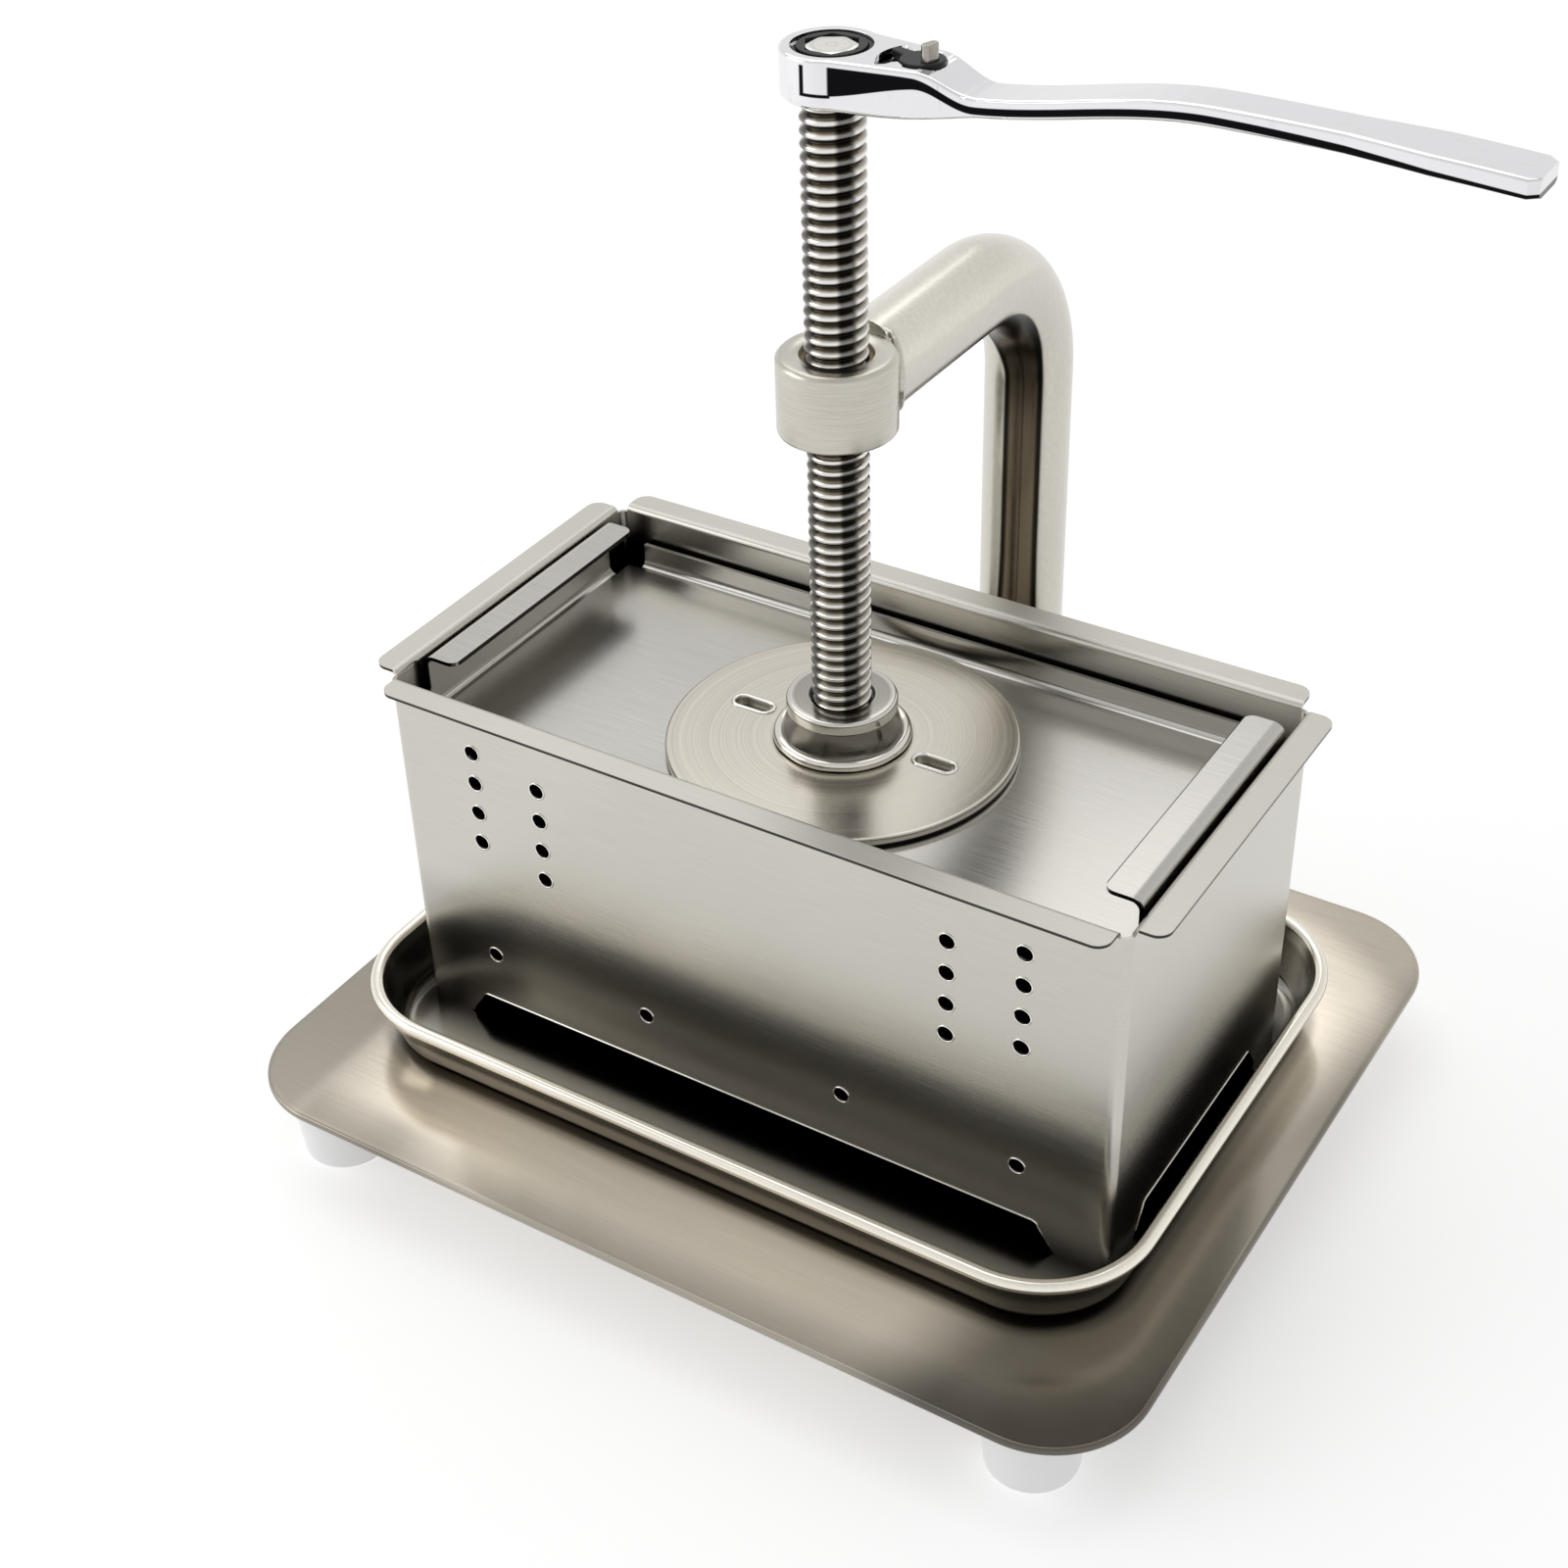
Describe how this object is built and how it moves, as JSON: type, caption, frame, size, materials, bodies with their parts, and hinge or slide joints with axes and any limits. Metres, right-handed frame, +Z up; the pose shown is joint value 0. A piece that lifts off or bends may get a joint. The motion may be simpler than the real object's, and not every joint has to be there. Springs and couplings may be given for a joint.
{
  "type": "tofu press",
  "caption": "Screw press for tofu: a perforated box in a drip tray on a footed plate, pressed by a screw through an arm and turned by a ratchet wrench.",
  "frame": {"origin": "on the floor, at the middle of the object's length and depth; the screw axis stands at X -12.75 mm, Y -3 mm", "axes": "+X along the box towards the wrench's free end, +Y towards the post, +Z up along the screw"},
  "size_m": [0.3026, 0.236, 0.3174],
  "materials": {
    "satin_steel": "satin brushed stainless sheet",
    "white_plastic": "smooth white moulded plastic",
    "plain_steel": "plain turned steel",
    "arm_steel": "satin brushed stainless tube",
    "weld_steel": "dressed weld bead",
    "bronze": "turned bronze",
    "tray_steel": "satin stainless sheet",
    "box_steel": "fine brushed stainless sheet",
    "plate_steel": "fine brushed stainless sheet",
    "disc_steel": "turned stainless",
    "screw_steel": "polished stainless thread",
    "spring_steel": "dark spring steel",
    "black_steel": "black oxide",
    "wrench_chrome": "mirror chrome"
  },
  "bodies": {
    "frame": {"base_plate": "satin_steel", "foot_front_left": "white_plastic", "foot_front_right": "white_plastic", "foot_back_left": "white_plastic", "foot_back_right": "white_plastic", "foot_studs": "plain_steel", "foot_washers": "plain_steel", "foot_nuts": "plain_steel", "arm_tube": "arm_steel", "post_weld": "weld_steel", "collar": "arm_steel", "collar_weld": "weld_steel", "nut_bush": "bronze", "drip_tray": "tray_steel", "box_shell": "box_steel", "strainer_floor": "box_steel"},
    "press_plate": {"press_plate": "plate_steel"},
    "presser": {"pressure_disc": "disc_steel", "hub_cup": "disc_steel", "hub_weld": "weld_steel", "thrust_washer": "bronze", "thrust_ball": "plain_steel"},
    "screw": {"lead_screw": "screw_steel", "screw_clip": "spring_steel", "ratchet_ring": "black_steel"},
    "wrench": {"wrench_body": "wrench_chrome", "ring_clip": "black_steel", "pawl_pin": "plain_steel"},
    "pawl": {"pawl": "spring_steel"},
    "selector": {"selector_lever": "black_steel", "thumb_tab": "wrench_chrome", "plunger_spring": "spring_steel"},
    "plunger": {"pawl_plunger": "plain_steel"}
  },
  "joints": [
    {"name": "presser_travel", "type": "slide", "parent": "frame", "child": "presser", "axis": [0, 0, 1], "range_m": [-0.061, 0.076]},
    {"name": "plate_travel", "type": "slide", "parent": "frame", "child": "press_plate", "axis": [0, 0, 1], "range_m": [-0.061, 0.076]},
    {"name": "screw_turn", "type": "hinge", "parent": "presser", "child": "screw", "pos_m": [-0.01275, -0.003, 0.22], "axis": [0, 0, 1], "range_deg": [-6863, 8551]},
    {"name": "wrench_swing", "type": "hinge", "parent": "screw", "child": "wrench", "pos_m": [-0.01275, -0.003, 0.307], "axis": [0, 0, 1], "continuous": true},
    {"name": "selector_flip", "type": "hinge", "parent": "wrench", "child": "selector", "pos_m": [0.01075, -0.003, 0.308], "axis": [0, 0, 1], "range_deg": [0, 40]},
    {"name": "pawl_rock", "type": "hinge", "parent": "wrench", "child": "pawl", "pos_m": [0.00275, -0.003, 0.306], "axis": [0, 0, 1], "range_deg": [-8, 0]},
    {"name": "plunger_press", "type": "slide", "parent": "selector", "child": "plunger", "axis": [0.9397, -0.342, 0], "range_m": [0, 0.0004], "stiffness_N_per_m": 400, "springref_m": -0.0005, "deforming": ["plunger_spring"]}
  ],
  "couplings": [
    {"joint": "screw_turn", "follows": "presser_travel", "rad_per_m": 1963.5},
    {"joint": "plate_travel", "follows": "presser_travel", "ratio": 1},
    {"joint": "pawl_rock", "follows": "selector_flip", "ratio": -0.2}
  ]
}
